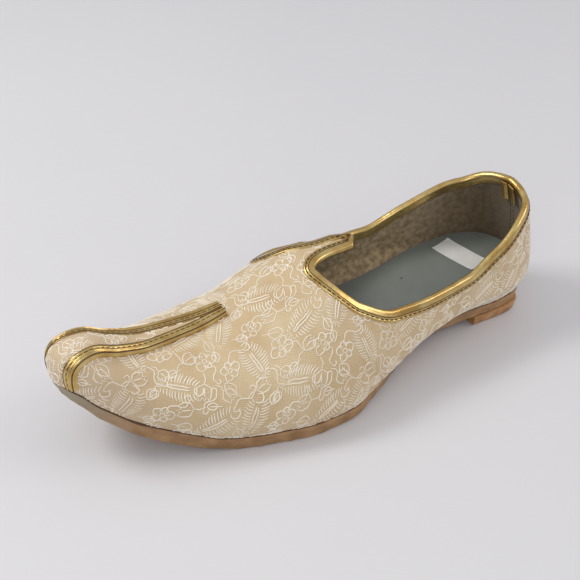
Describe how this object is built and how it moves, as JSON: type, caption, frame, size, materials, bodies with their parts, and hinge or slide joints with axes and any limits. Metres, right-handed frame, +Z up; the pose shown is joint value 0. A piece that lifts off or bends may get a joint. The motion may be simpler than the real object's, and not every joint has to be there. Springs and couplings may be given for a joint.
{
  "type": "mojari shoe",
  "caption": "Left mojari slip-on with a hollow brocade upper, bound throat with a centre tab, gold-edged toe band, upturned toe, insole, flat sole and low heel block.",
  "frame": {"origin": "middle of the bounding box at the floor", "axes": "+X from the heel to the toe along the shoe, +Y towards the shoe's left (outer) side, +Z up from the floor"},
  "size_m": [0.29, 0.1054, 0.0783],
  "materials": {
    "brocade": "satin-ground brocade with raised silver-white threads",
    "gold_leather": "gold foil on soft leather",
    "lining": "crushed velvet lining",
    "footbed": "matt grey-green synthetic leather",
    "label": "plain woven label",
    "sole": "moulded tan rubber, slightly glossy",
    "heel": "moulded tan rubber",
    "thread": "dark brown sewing thread"
  },
  "bodies": {
    "root": {"upper": "brocade", "collar_binding": "gold_leather", "toe_band": "brocade", "toe_trim_left": "gold_leather", "toe_trim_right": "gold_leather", "back_tail": "gold_leather", "insole": "footbed", "insole_label": "label", "outsole": "sole", "heel_block": "heel"}
  },
  "joints": []
}
